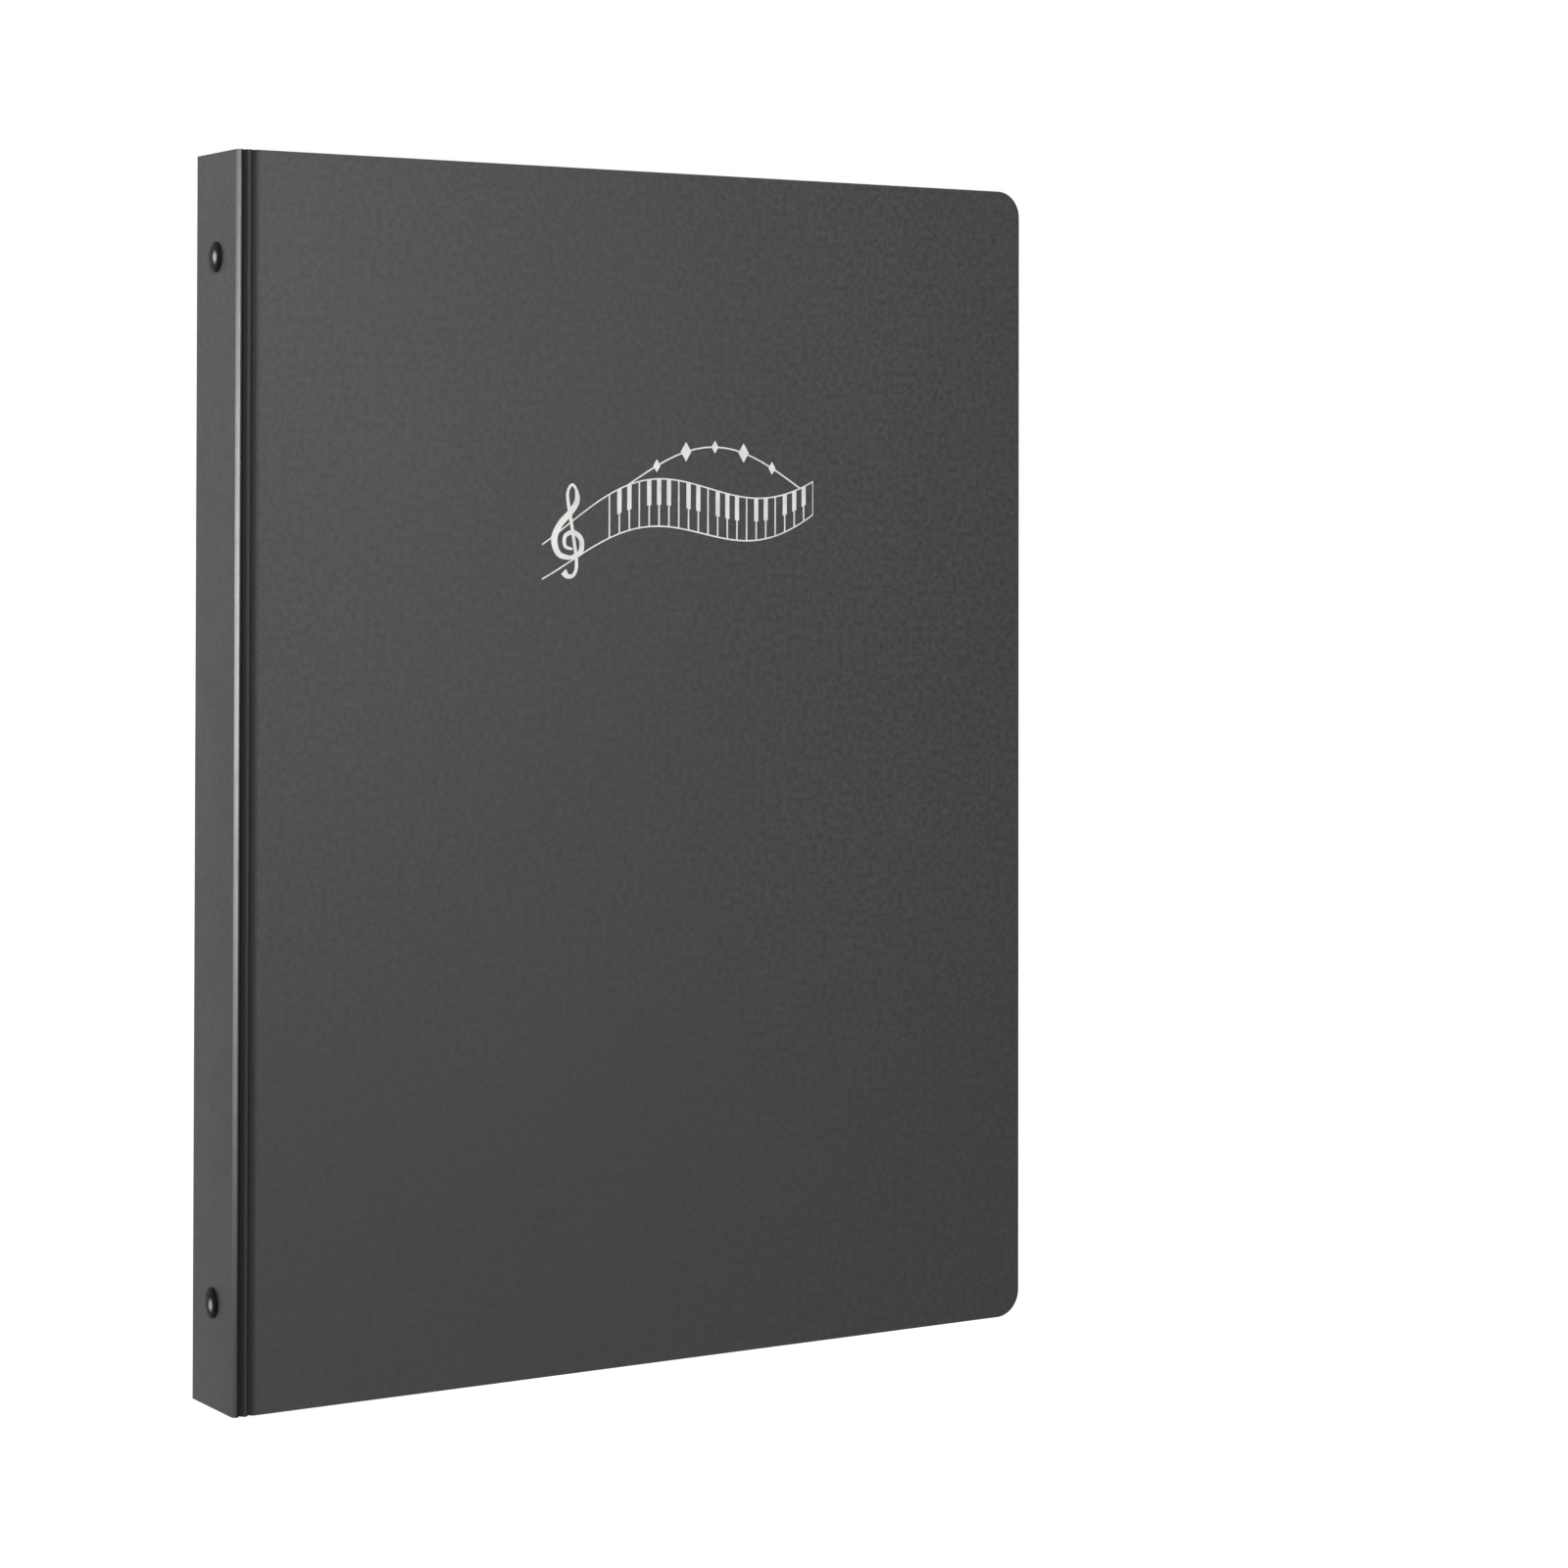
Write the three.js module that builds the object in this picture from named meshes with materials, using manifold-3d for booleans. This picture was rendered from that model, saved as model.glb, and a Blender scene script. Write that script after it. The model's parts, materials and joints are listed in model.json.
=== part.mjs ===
// Music folder: an A4 ring binder of black plastic sheet, closed and standing on its bottom edges.
// Millimetres, +Z up. The spine faces -X, the front cover faces -Y and the fore-edges point to +X.
// Inside a riveted ring mechanism with four two-part rings stands on the spine's inner face.
import * as THREE from 'three';
import { mergeVertices } from 'three/addons/utils/BufferGeometryUtils.js';
import Module from 'manifold-3d';

const wasm = await Module();
wasm.setup();

// The folded sheet
const folderHeight = 310;
const coverWidth = 234;
const folderDepth = 26;
const sheetThickness = 1.4;
const spineCornerRadius = 1.2;
const foreCornerRadius = 7;

// Two V-shaped creases beside each spine corner leave a thin web, where the cover folds
const creaseInset = 2.05;
const creasePitch = 2.4;
const creaseHalfWidth = 0.84;
const creaseWeb = 0.6;
const creaseHalfGap = 0.15;

// Rivets, seen from outside as domed heads on the spine
const rivetFromHousingEnd = 11.8;
const rivetHeadRadius = 3.8;
const rivetHeadHeight = 1.1;
const rivetRimHeight = 0.35;
const rivetShankRadius = 2.2;
const rivetNeckRadius = 1.5;
const rivetPeenRadius = 2.5;
const rivetPeenTopRadius = 1.9;
const rivetPeenEdge = 0.55;
const rivetPeenHeight = 0.7;
const rivetDomeSteps = 5;
const rivetHoleClearance = 0.3;

// Arched housing of the ring mechanism; heights are above the spine's inner face
const housingLength = 282;
const housingHalfWidth = 9.3;
const housingWall = 0.8;
const housingFoot = 1.2;
const housingShoulder = 3.9;
const housingTop = 6.4;
const housingLipReach = 1.7;
const housingLipWall = 0.7;
const housingFootRadius = 0.5;

// Two blades that rock in the housing's rims and carry the ring halves
const bladePivotHeight = 2.55;
const bladePivotOffset = 8;
const bladeWall = 0.9;
const bladeEdge = 0.3;
const bladeMiddleGap = 0.25;
const bladeTilt = 6;
const bladePostClearance = 0.7;

// Rings, at the four-hole spacing for A4 paper
const ringCount = 4;
const ringSpacing = 80;
const ringRadius = 8.2;
const ringWireRadius = 1.15;
const ringFootOffset = 6;
const ringTipGap = 0.3;
const ringNotchClearance = 0.45;
const ringSteps = 22;

// Levers at both ends, on pins through the housing's side walls
const leverPinInset = 1.5;
const leverPinHeight = 3;
const leverPinRadius = 0.8;
const leverPinClearance = 0.15;
const leverPinOverhang = 0.2;
const leverBarrelRadius = 1.7;
const leverHalfWidth = 6;
const leverTongueHalfWidth = 1.5;
const leverTongueReach = 4.2;
const leverTongueWall = 0.75;
const leverWebIn = 0.9;
const leverWebOut = 0.6;
const leverBladeLap = 1.1;
const leverLowerTongueTop = -1.95;
const leverUpperTongueFoot = -0.2;
const leverArmWall = 1.1;
const leverArmRun = 3.6;
const leverArmRise = 12.5;
const leverArmLean = 3.2;

// Clearance where one still piece is seated on another, and how far a cut runs past what it cuts
const seatGap = 0.05;
const cutMargin = 1;

// Silver print on the front cover: a curved keyboard with a clef and a string of diamonds
const printThickness = 0.12;
const printLeft = 84.6;
const printBottom = 196;
const printWidth = 82;
const printHeight = 52;
const printMerge = 0.02;
const lineHalfWidth = 0.2;
const bandSteps = 36;
const keysFrom = 0.24;
const whiteKeys = 21;
const keysPerOctave = 7;
const blackKeyHalfWidth = 0.62;
const blackKeyLevel = -0.1;
const bandStart = 0.3;
const bandClimb = 0.32;
const bandWave = 0.11;
const bandWaveTurn = 0.6;
const bandEndHeight = 0.085;
const bandSwell = 0.035;
const clefShare = 0.1;
const clefUnit = 7.6;
const archFrom = 0.305;
const archTo = 0.95;
const archRise = 10.5;
const archSteps = 18;
const diamonds = 5;
const diamondReach = 1.7;
const diamondGrowth = 1.5;
const diamondWaist = 0.62;

// Places that follow from the sizes
const innerFace = sheetThickness;
const halfDepth = folderDepth / 2;
const midHeight = folderHeight / 2;
const creaseDepth = sheetThickness - creaseWeb;
const creaseOne = creaseInset;
const creaseTwo = creaseInset + creasePitch;
const housingHalfLength = housingLength / 2;
const rivetHeights = [-1, 1].map(
  (end) => midHeight + end * (housingHalfLength - rivetFromHousingEnd),
);
const housingCeiling = housingTop - housingWall;
const leverPinOffset = housingHalfLength - leverPinInset;
const bladeHalfLength = leverPinOffset - leverTongueReach + leverBladeLap;
const bladeTiltAngle = THREE.MathUtils.degToRad(bladeTilt);
const bladeFaceHeight = bladePivotHeight
  - (bladePivotOffset - ringFootOffset) * Math.tan(bladeTiltAngle)
  + (bladeWall / 2) / Math.cos(bladeTiltAngle);
const ringCentreHeight = bladeFaceHeight + Math.sqrt(ringRadius ** 2 - ringFootOffset ** 2);

const sheetPlastic = new THREE.MeshStandardMaterial({
  name: 'cover_sheet', color: 0x4e504f, roughness: 0.5, metalness: 0,
});
const silverInk = new THREE.MeshStandardMaterial({
  name: 'silver_print', color: 0xdcdcd4, roughness: 0.35, metalness: 0.4,
});
const blackSteel = new THREE.MeshStandardMaterial({
  name: 'rivet_black', color: 0x1c1d1f, roughness: 0.25, metalness: 0.2,
});
const nickelSteel = new THREE.MeshStandardMaterial({
  name: 'nickel_steel', color: 0xc4c5c6, roughness: 0.22, metalness: 1,
});

// A closed solid from a three.js geometry
function solidFrom(geometry) {
  const bare = geometry.clone();
  bare.deleteAttribute('normal');
  bare.deleteAttribute('uv');
  const merged = mergeVertices(bare, 1e-4);
  return new wasm.Manifold(new wasm.Mesh({
    numProp: 3,
    vertProperties: Float32Array.from(merged.attributes.position.array),
    triVerts: Uint32Array.from(merged.index.array),
  }));
}

// A three.js geometry from a closed solid
function geometryFrom(solid) {
  const mesh = solid.getMesh();
  const geometry = new THREE.BufferGeometry();
  geometry.setAttribute('position', new THREE.BufferAttribute(mesh.vertProperties, 3));
  geometry.setIndex(new THREE.BufferAttribute(mesh.triVerts, 1));
  geometry.computeVertexNormals();
  return geometry;
}

function join(solids) {
  return solids.reduce((whole, next) => whole.add(next));
}

function cut(solid, cutters) {
  return cutters.reduce((rest, cutter) => rest.subtract(cutter), solid);
}

// A prism of an XY shape, from bottom to top along Z
function prismZ(shape, bottom, top, curveSegments = 8) {
  const geometry = new THREE.ExtrudeGeometry(shape, {
    depth: top - bottom, bevelEnabled: false, curveSegments,
  });
  return geometry.translate(0, 0, bottom);
}

// A prism of a shape drawn in X and Z, from front to back along Y
function prismY(shape, front, back, curveSegments = 8) {
  const geometry = new THREE.ExtrudeGeometry(shape, {
    depth: back - front, bevelEnabled: false, curveSegments,
  });
  return geometry.rotateX(Math.PI / 2).translate(0, back, 0);
}

function boxBetween(low, high) {
  const size = high.map((value, axis) => value - low[axis]);
  const middle = high.map((value, axis) => (value + low[axis]) / 2);
  return new THREE.BoxGeometry(...size).translate(...middle);
}

// A round bar along X
function barX(radius, from, to, y, z, sides = 24) {
  const geometry = new THREE.CylinderGeometry(radius, radius, to - from, sides);
  return geometry.rotateZ(Math.PI / 2).translate((from + to) / 2, y, z);
}

// A round bar along Y
function barY(radius, from, to, x, z, sides = 16) {
  const geometry = new THREE.CylinderGeometry(radius, radius, to - from, sides);
  return geometry.translate(x, (from + to) / 2, z);
}

function named(name, geometry, material) {
  const mesh = new THREE.Mesh(geometry, material);
  mesh.name = name;
  return mesh;
}

// The spine with its two turned corners and, next to them, the first half of each first crease
function spinePanel() {
  const shape = new THREE.Shape();
  shape.moveTo(0, -halfDepth + spineCornerRadius);
  shape.absarc(spineCornerRadius, -halfDepth + spineCornerRadius, spineCornerRadius,
    Math.PI, 1.5 * Math.PI, false);
  shape.lineTo(creaseOne - creaseHalfWidth, -halfDepth);
  shape.lineTo(creaseOne - creaseHalfGap, -halfDepth + creaseDepth);
  shape.lineTo(creaseOne - creaseHalfGap, -halfDepth + sheetThickness);
  shape.lineTo(innerFace, -halfDepth + sheetThickness);
  shape.lineTo(innerFace, halfDepth - sheetThickness);
  shape.lineTo(creaseOne - creaseHalfGap, halfDepth - sheetThickness);
  shape.lineTo(creaseOne - creaseHalfGap, halfDepth - creaseDepth);
  shape.lineTo(creaseOne - creaseHalfWidth, halfDepth);
  shape.lineTo(spineCornerRadius, halfDepth);
  shape.absarc(spineCornerRadius, halfDepth - spineCornerRadius, spineCornerRadius,
    0.5 * Math.PI, Math.PI, false);
  shape.closePath();
  const holes = rivetHeights.map((height) => solidFrom(
    barX(rivetShankRadius + rivetHoleClearance, -cutMargin, sheetThickness + cutMargin, 0, height),
  ));
  return geometryFrom(cut(solidFrom(prismZ(shape, 0, folderHeight)), holes));
}

// The narrow rib between the two creases; side is -1 at the front and 1 at the back
function creaseRib(side) {
  const outer = side * halfDepth;
  const floor = side * (halfDepth - creaseDepth);
  const inner = side * (halfDepth - sheetThickness);
  const shape = new THREE.Shape();
  shape.moveTo(creaseOne + creaseHalfGap, inner);
  shape.lineTo(creaseOne + creaseHalfGap, floor);
  shape.lineTo(creaseOne + creaseHalfWidth, outer);
  shape.lineTo(creaseTwo - creaseHalfWidth, outer);
  shape.lineTo(creaseTwo - creaseHalfGap, floor);
  shape.lineTo(creaseTwo - creaseHalfGap, inner);
  shape.closePath();
  return prismZ(shape, 0, folderHeight);
}

// A cover sheet with its half of the second crease and two round fore-edge corners
function coverPanel(side) {
  const outer = side * halfDepth;
  const floor = side * (halfDepth - creaseDepth);
  const inner = side * (halfDepth - sheetThickness);
  const section = new THREE.Shape();
  section.moveTo(creaseTwo + creaseHalfGap, inner);
  section.lineTo(creaseTwo + creaseHalfGap, floor);
  section.lineTo(creaseTwo + creaseHalfWidth, outer);
  section.lineTo(coverWidth, outer);
  section.lineTo(coverWidth, inner);
  section.closePath();

  const outline = new THREE.Shape();
  const cornerX = coverWidth - foreCornerRadius;
  outline.moveTo(0, 0);
  outline.lineTo(cornerX, 0);
  outline.absarc(cornerX, foreCornerRadius, foreCornerRadius, -0.5 * Math.PI, 0, false);
  outline.lineTo(coverWidth, folderHeight - foreCornerRadius);
  outline.absarc(cornerX, folderHeight - foreCornerRadius, foreCornerRadius, 0, 0.5 * Math.PI, false);
  outline.lineTo(0, folderHeight);
  outline.closePath();

  const sheet = solidFrom(prismZ(section, 0, folderHeight));
  const die = solidFrom(prismY(outline, -folderDepth, folderDepth, 10));
  return geometryFrom(sheet.intersect(die));
}

// A rivet: domed head outside the spine, shank and shoulder under the housing, peened end on top
function rivet(height) {
  const shoulder = innerFace + housingCeiling - seatGap;
  const housingFace = innerFace + housingTop + seatGap;
  const profile = [new THREE.Vector2(0, -rivetHeadHeight)];
  for (let step = 1; step <= rivetDomeSteps; step += 1) {
    const turn = (step / rivetDomeSteps) * 0.5 * Math.PI;
    const drop = (rivetHeadHeight - rivetRimHeight) * Math.cos(turn);
    profile.push(new THREE.Vector2(rivetHeadRadius * Math.sin(turn), -rivetRimHeight - drop));
  }
  profile.push(new THREE.Vector2(rivetHeadRadius, -seatGap));
  profile.push(new THREE.Vector2(rivetShankRadius, -seatGap));
  profile.push(new THREE.Vector2(rivetShankRadius, shoulder));
  profile.push(new THREE.Vector2(rivetNeckRadius, shoulder));
  profile.push(new THREE.Vector2(rivetNeckRadius, housingFace));
  profile.push(new THREE.Vector2(rivetPeenRadius, housingFace));
  profile.push(new THREE.Vector2(rivetPeenTopRadius, housingFace + rivetPeenEdge));
  profile.push(new THREE.Vector2(0, housingFace + rivetPeenHeight));
  return new THREE.LatheGeometry(profile, 24).rotateZ(-Math.PI / 2).translate(0, 0, height);
}

const ringHeights = Array.from(
  { length: ringCount },
  (_, index) => midHeight + (index - (ringCount - 1) / 2) * ringSpacing,
);

// The arched sheet-metal housing, with lips that hold the blades and notches that pass the rings
function ringHousing() {
  const foot = innerFace + housingFoot;
  const shoulder = innerFace + housingShoulder;
  const top = innerFace + housingTop;
  const wallInside = housingHalfWidth - housingWall;
  const lipInside = housingHalfWidth - housingLipReach;
  const shape = new THREE.Shape();
  shape.moveTo(foot, -lipInside);
  shape.lineTo(foot, -housingHalfWidth + housingFootRadius);
  shape.quadraticCurveTo(foot, -housingHalfWidth, foot + housingFootRadius, -housingHalfWidth);
  shape.lineTo(shoulder, -housingHalfWidth);
  shape.quadraticCurveTo(top, -housingHalfWidth, top, 0);
  shape.quadraticCurveTo(top, housingHalfWidth, shoulder, housingHalfWidth);
  shape.lineTo(foot + housingFootRadius, housingHalfWidth);
  shape.quadraticCurveTo(foot, housingHalfWidth, foot, housingHalfWidth - housingFootRadius);
  shape.lineTo(foot, lipInside);
  shape.lineTo(foot + housingLipWall, lipInside);
  shape.lineTo(foot + housingLipWall, wallInside);
  shape.lineTo(shoulder, wallInside);
  shape.quadraticCurveTo(top - housingWall, wallInside, top - housingWall, 0);
  shape.quadraticCurveTo(top - housingWall, -wallInside, shoulder, -wallInside);
  shape.lineTo(foot + housingLipWall, -wallInside);
  shape.lineTo(foot + housingLipWall, -lipInside);
  shape.closePath();

  const cutters = [];
  const notchFoot = innerFace + housingFoot + housingLipWall;
  const notchInside = ringFootOffset - ringWireRadius - ringNotchClearance;
  const notchHalf = ringWireRadius + ringNotchClearance;
  for (const height of ringHeights) {
    for (const side of [-1, 1]) {
      const near = side * notchInside;
      const far = side * (housingHalfWidth + cutMargin);
      cutters.push(solidFrom(boxBetween(
        [notchFoot, Math.min(near, far), height - notchHalf],
        [top + cutMargin, Math.max(near, far), height + notchHalf],
      )));
    }
  }
  for (const height of rivetHeights) {
    cutters.push(solidFrom(barX(
      rivetNeckRadius + rivetHoleClearance, shoulder, top + cutMargin, 0, height,
    )));
  }
  for (const end of [-1, 1]) {
    cutters.push(solidFrom(barY(
      leverPinRadius + leverPinClearance, -housingHalfWidth - cutMargin, housingHalfWidth + cutMargin,
      innerFace + leverPinHeight, midHeight + end * leverPinOffset,
    )));
  }
  const channel = prismZ(shape, midHeight - housingHalfLength, midHeight + housingHalfLength, 6);
  return geometryFrom(cut(solidFrom(channel), cutters));
}

// A point on a blade's middle plane, as [x, y], at a distance from the housing's centre line
function bladePoint(side, offset, lift) {
  const run = bladePivotOffset - offset;
  const height = bladePivotHeight - run * Math.tan(bladeTiltAngle) + lift / Math.cos(bladeTiltAngle);
  return [innerFace + height, side * offset];
}

// A long blade, tilted towards the spine along the middle as it is while the rings are shut
function blade(side) {
  const half = bladeWall / 2;
  const outerEdge = bladePivotOffset + bladeEdge;
  const shape = new THREE.Shape();
  shape.moveTo(...bladePoint(side, outerEdge, -half));
  shape.lineTo(...bladePoint(side, outerEdge, half));
  shape.lineTo(...bladePoint(side, bladeMiddleGap, half));
  shape.lineTo(...bladePoint(side, bladeMiddleGap, -half));
  shape.closePath();
  const strip = prismZ(shape, midHeight - bladeHalfLength, midHeight + bladeHalfLength);
  const posts = rivetHeights.map((height) => solidFrom(
    barX(rivetShankRadius + bladePostClearance, 0, innerFace + housingTop, 0, height),
  ));
  return geometryFrom(cut(solidFrom(strip), posts));
}

// The centre line of one ring half, from its tip round to below the blade
class RingArc extends THREE.Curve {
  constructor(side, height) {
    super();
    this.side = side;
    this.height = height;
    this.start = Math.asin((ringTipGap / 2) / ringRadius);
    this.end = Math.PI - Math.asin((ringFootOffset - ringWireRadius) / ringRadius);
  }

  getPoint(share, target = new THREE.Vector3()) {
    const turn = this.start + (this.end - this.start) * share;
    return target.set(
      innerFace + ringCentreHeight + ringRadius * Math.cos(turn),
      this.side * ringRadius * Math.sin(turn),
      this.height,
    );
  }
}

// One half ring of round wire, its foot trimmed to the blade's face
function ringHalf(side, height) {
  const wire = new THREE.Shape();
  wire.absarc(0, 0, ringWireRadius, 0, 2 * Math.PI, false);
  const tube = new THREE.ExtrudeGeometry(wire, {
    extrudePath: new RingArc(side, height), steps: ringSteps, curveSegments: 5, bevelEnabled: false,
  });
  const trim = new THREE.Shape();
  trim.moveTo(...bladePoint(side, 0, bladeWall / 2 + seatGap));
  trim.lineTo(...bladePoint(side, housingHalfWidth, bladeWall / 2 + seatGap));
  trim.lineTo(-housingHalfWidth, side * housingHalfWidth);
  trim.lineTo(-housingHalfWidth, 0);
  trim.closePath();
  const reach = 2 * ringWireRadius;
  return geometryFrom(solidFrom(tube).subtract(solidFrom(prismZ(trim, height - reach, height + reach))));
}

// A lever in its own frame: X away from the spine, Z towards the folder's end, origin on its pin
function lever() {
  const barrel = solidFrom(barY(leverBarrelRadius, -leverHalfWidth, leverHalfWidth, 0, 0, 20));
  const half = leverArmWall / 2;

  // Foot and finger plate, drawn as [away from spine, towards end]
  const arm = new THREE.Shape();
  arm.moveTo(-half, 0);
  arm.lineTo(-half, leverArmRun + half);
  arm.quadraticCurveTo(-half, leverArmRun + 2 * half, half, leverArmRun + 2 * half + half);
  arm.lineTo(leverArmRise - half, leverArmRun + leverArmLean + 2 * half);
  arm.quadraticCurveTo(leverArmRise + half, leverArmRun + leverArmLean + half,
    leverArmRise - half, leverArmRun + leverArmLean);
  arm.lineTo(half, leverArmRun);
  arm.lineTo(half, 0);
  arm.closePath();

  const lower = boxBetween(
    [leverLowerTongueTop - leverTongueWall, -leverTongueHalfWidth, -leverTongueReach],
    [leverLowerTongueTop, leverTongueHalfWidth, leverWebOut],
  );
  const web = boxBetween(
    [leverLowerTongueTop - leverTongueWall, -leverTongueHalfWidth, -leverWebIn],
    [0, leverTongueHalfWidth, leverWebOut],
  );
  const upper = boxBetween(
    [leverUpperTongueFoot, -leverTongueHalfWidth, -leverTongueReach],
    [leverUpperTongueFoot + leverTongueWall, leverTongueHalfWidth, 0],
  );
  const plate = solidFrom(prismY(arm, -leverHalfWidth, leverHalfWidth, 6));
  const bore = solidFrom(barY(
    leverPinRadius + leverPinClearance, -leverHalfWidth - cutMargin, leverHalfWidth + cutMargin, 0, 0,
  ));
  const body = join([barrel, plate, solidFrom(lower), solidFrom(web), solidFrom(upper)]);
  return geometryFrom(body.subtract(bore));
}

function leverPin() {
  const reach = housingHalfWidth + leverPinOverhang;
  return barY(leverPinRadius, -reach, reach, 0, 0);
}

// Middle and half height of the keyboard band at a share of its length
function bandMiddle(share) {
  const wave = bandWave * Math.sin(2 * Math.PI * share - bandWaveTurn);
  return printHeight * (bandStart + bandClimb * share + wave);
}

function bandHalfHeight(share) {
  return printHeight * (bandEndHeight + bandSwell * Math.sin(Math.PI * share));
}

// A point of the band: level runs from -1 on its lower line to 1 on its upper line
function bandPoint(share, level) {
  return new THREE.Vector2(
    share * printWidth,
    bandMiddle(share) + level * bandHalfHeight(share),
  );
}

// A ribbon of changing half width along a smooth line through the given points
function ribbon(points, halfWidths, steps) {
  const curve = new THREE.SplineCurve(points);
  const left = [];
  const right = [];
  for (let step = 0; step <= steps; step += 1) {
    const share = step / steps;
    const place = share * (halfWidths.length - 1);
    const index = Math.min(Math.floor(place), halfWidths.length - 2);
    const half = THREE.MathUtils.lerp(halfWidths[index], halfWidths[index + 1], place - index);
    const point = curve.getPoint(share);
    const ahead = curve.getTangent(share);
    left.unshift(new THREE.Vector2(point.x - ahead.y * half, point.y + ahead.x * half));
    right.push(new THREE.Vector2(point.x + ahead.y * half, point.y - ahead.x * half));
  }
  return new THREE.Shape([...right, ...left]);
}

// Points along the band between two shares, a fixed distance inside or outside one of its lines
function bandEdge(from, to, level, shift, steps) {
  const points = [];
  for (let step = 0; step <= steps; step += 1) {
    const point = bandPoint(THREE.MathUtils.lerp(from, to, step / steps), level);
    points.push(new THREE.Vector2(point.x, point.y + shift));
  }
  return points;
}

// White keys are windows parted by fine lines; black keys are short bars from the upper line
function keyboard() {
  const keyShare = (1 - keysFrom) / whiteKeys;
  const fine = lineHalfWidth / printWidth;
  const thick = blackKeyHalfWidth / printWidth;
  const hasBlack = (key) => ![0, 3].includes(key % keysPerOctave) && key < whiteKeys;
  const windows = [];
  for (let key = 0; key < whiteKeys; key += 1) {
    const left = keysFrom + key * keyShare;
    const right = left + keyShare;
    const upperLeft = left + (hasBlack(key) ? thick : fine);
    const upperRight = right - (hasBlack(key + 1) ? thick : fine);
    const points = bandEdge(left + fine, right - fine, -1, lineHalfWidth, 1);
    if (hasBlack(key + 1)) {
      points.push(bandPoint(right - fine, blackKeyLevel), bandPoint(upperRight, blackKeyLevel));
    }
    points.push(...bandEdge(upperRight, upperLeft, 1, -lineHalfWidth, 1));
    if (hasBlack(key)) {
      points.push(bandPoint(upperLeft, blackKeyLevel), bandPoint(left + fine, blackKeyLevel));
    }
    windows.push(new THREE.Path(points));
  }
  const inside = keysFrom - fine;
  const steps = Math.round(bandSteps * keysFrom);
  const shape = new THREE.Shape([
    ...bandEdge(0, 1, -1, -lineHalfWidth, bandSteps),
    ...bandEdge(1, 0, 1, lineHalfWidth, bandSteps),
    ...bandEdge(0, inside, 1, -lineHalfWidth, steps),
    ...bandEdge(inside, 0, -1, lineHalfWidth, steps),
  ]);
  shape.holes.push(...windows);
  return shape;
}

// A G clef in three strokes, in clef units about the middle of the band
function clef() {
  const strokes = [
    [[0.08, -0.24], [-0.2, -0.14], [-0.2, 0.2], [0.12, 0.33], [0.42, 0.08], [0.38, -0.36], [0, -0.54]],
    [[0, -0.54], [-0.45, -0.4], [-0.62, 0.1], [-0.4, 0.6], [0, 1], [0.26, 1.4], [0.22, 1.8]],
    [[0.22, 1.8], [0.06, 1.95], [-0.1, 1.7], [-0.08, 1.3], [0.1, 0.3], [0.24, -0.7], [0.14, -1.1],
      [-0.1, -1.16], [-0.26, -1]],
  ];
  const halfWidths = [
    [0.04, 0.06, 0.07, 0.08, 0.09, 0.09, 0.07],
    [0.07, 0.1, 0.12, 0.11, 0.11, 0.1, 0.05],
    [0.05, 0.04, 0.05, 0.06, 0.06, 0.06, 0.06, 0.08, 0.13],
  ];
  const middle = bandPoint(clefShare, 0);
  return strokes.map((stroke, index) => ribbon(
    stroke.map(([x, y]) => new THREE.Vector2(middle.x + clefUnit * x, middle.y + clefUnit * y)),
    halfWidths[index].map((half) => clefUnit * half),
    4 * stroke.length,
  ));
}

// A fine arch over the band, with diamonds strung on it
function garland() {
  const foot = bandPoint(archFrom, 1);
  const end = bandPoint(archTo, 1);
  const archPoint = (share) => new THREE.Vector2(
    THREE.MathUtils.lerp(foot.x, end.x, share),
    THREE.MathUtils.lerp(foot.y, end.y, share) + archRise * Math.sin(Math.PI * share),
  );
  const points = [];
  for (let step = 0; step <= archSteps; step += 1) {
    points.push(archPoint(step / archSteps));
  }
  const shapes = [ribbon(points, [lineHalfWidth, lineHalfWidth], archSteps)];
  for (let index = 1; index <= diamonds; index += 1) {
    const at = archPoint(index / (diamonds + 1));
    const reach = diamondReach * (index % 2 ? 1 : diamondGrowth);
    shapes.push(new THREE.Shape([
      new THREE.Vector2(at.x - diamondWaist * reach, at.y),
      new THREE.Vector2(at.x, at.y - reach),
      new THREE.Vector2(at.x + diamondWaist * reach, at.y),
      new THREE.Vector2(at.x, at.y + reach),
    ]));
  }
  return shapes;
}

// The whole print as one thin solid lying on the front cover
function coverPrint() {
  const shapes = [keyboard(), ...clef(), ...garland()];
  const solids = shapes.map((shape) => solidFrom(prismZ(shape, 0, printThickness)));
  return geometryFrom(join(solids).simplify(printMerge))
    .rotateX(Math.PI / 2)
    .translate(printLeft, -halfDepth, printBottom);
}

const folder = new THREE.Group();
folder.add(named('spine_panel', spinePanel(), sheetPlastic));
folder.add(named('front_crease_rib', creaseRib(-1), sheetPlastic));
folder.add(named('back_crease_rib', creaseRib(1), sheetPlastic));
folder.add(named('front_cover', coverPanel(-1), sheetPlastic));
folder.add(named('back_cover', coverPanel(1), sheetPlastic));
folder.add(named('cover_print', coverPrint(), silverInk));
folder.add(named('bottom_rivet', rivet(rivetHeights[0]), blackSteel));
folder.add(named('top_rivet', rivet(rivetHeights[1]), blackSteel));
folder.add(named('ring_housing', ringHousing(), nickelSteel));
folder.add(named('front_blade', blade(-1), nickelSteel));
folder.add(named('back_blade', blade(1), nickelSteel));

ringHeights.forEach((height, index) => {
  folder.add(named(`front_ring_${index + 1}`, ringHalf(-1, height), nickelSteel));
  folder.add(named(`back_ring_${index + 1}`, ringHalf(1, height), nickelSteel));
});

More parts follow.
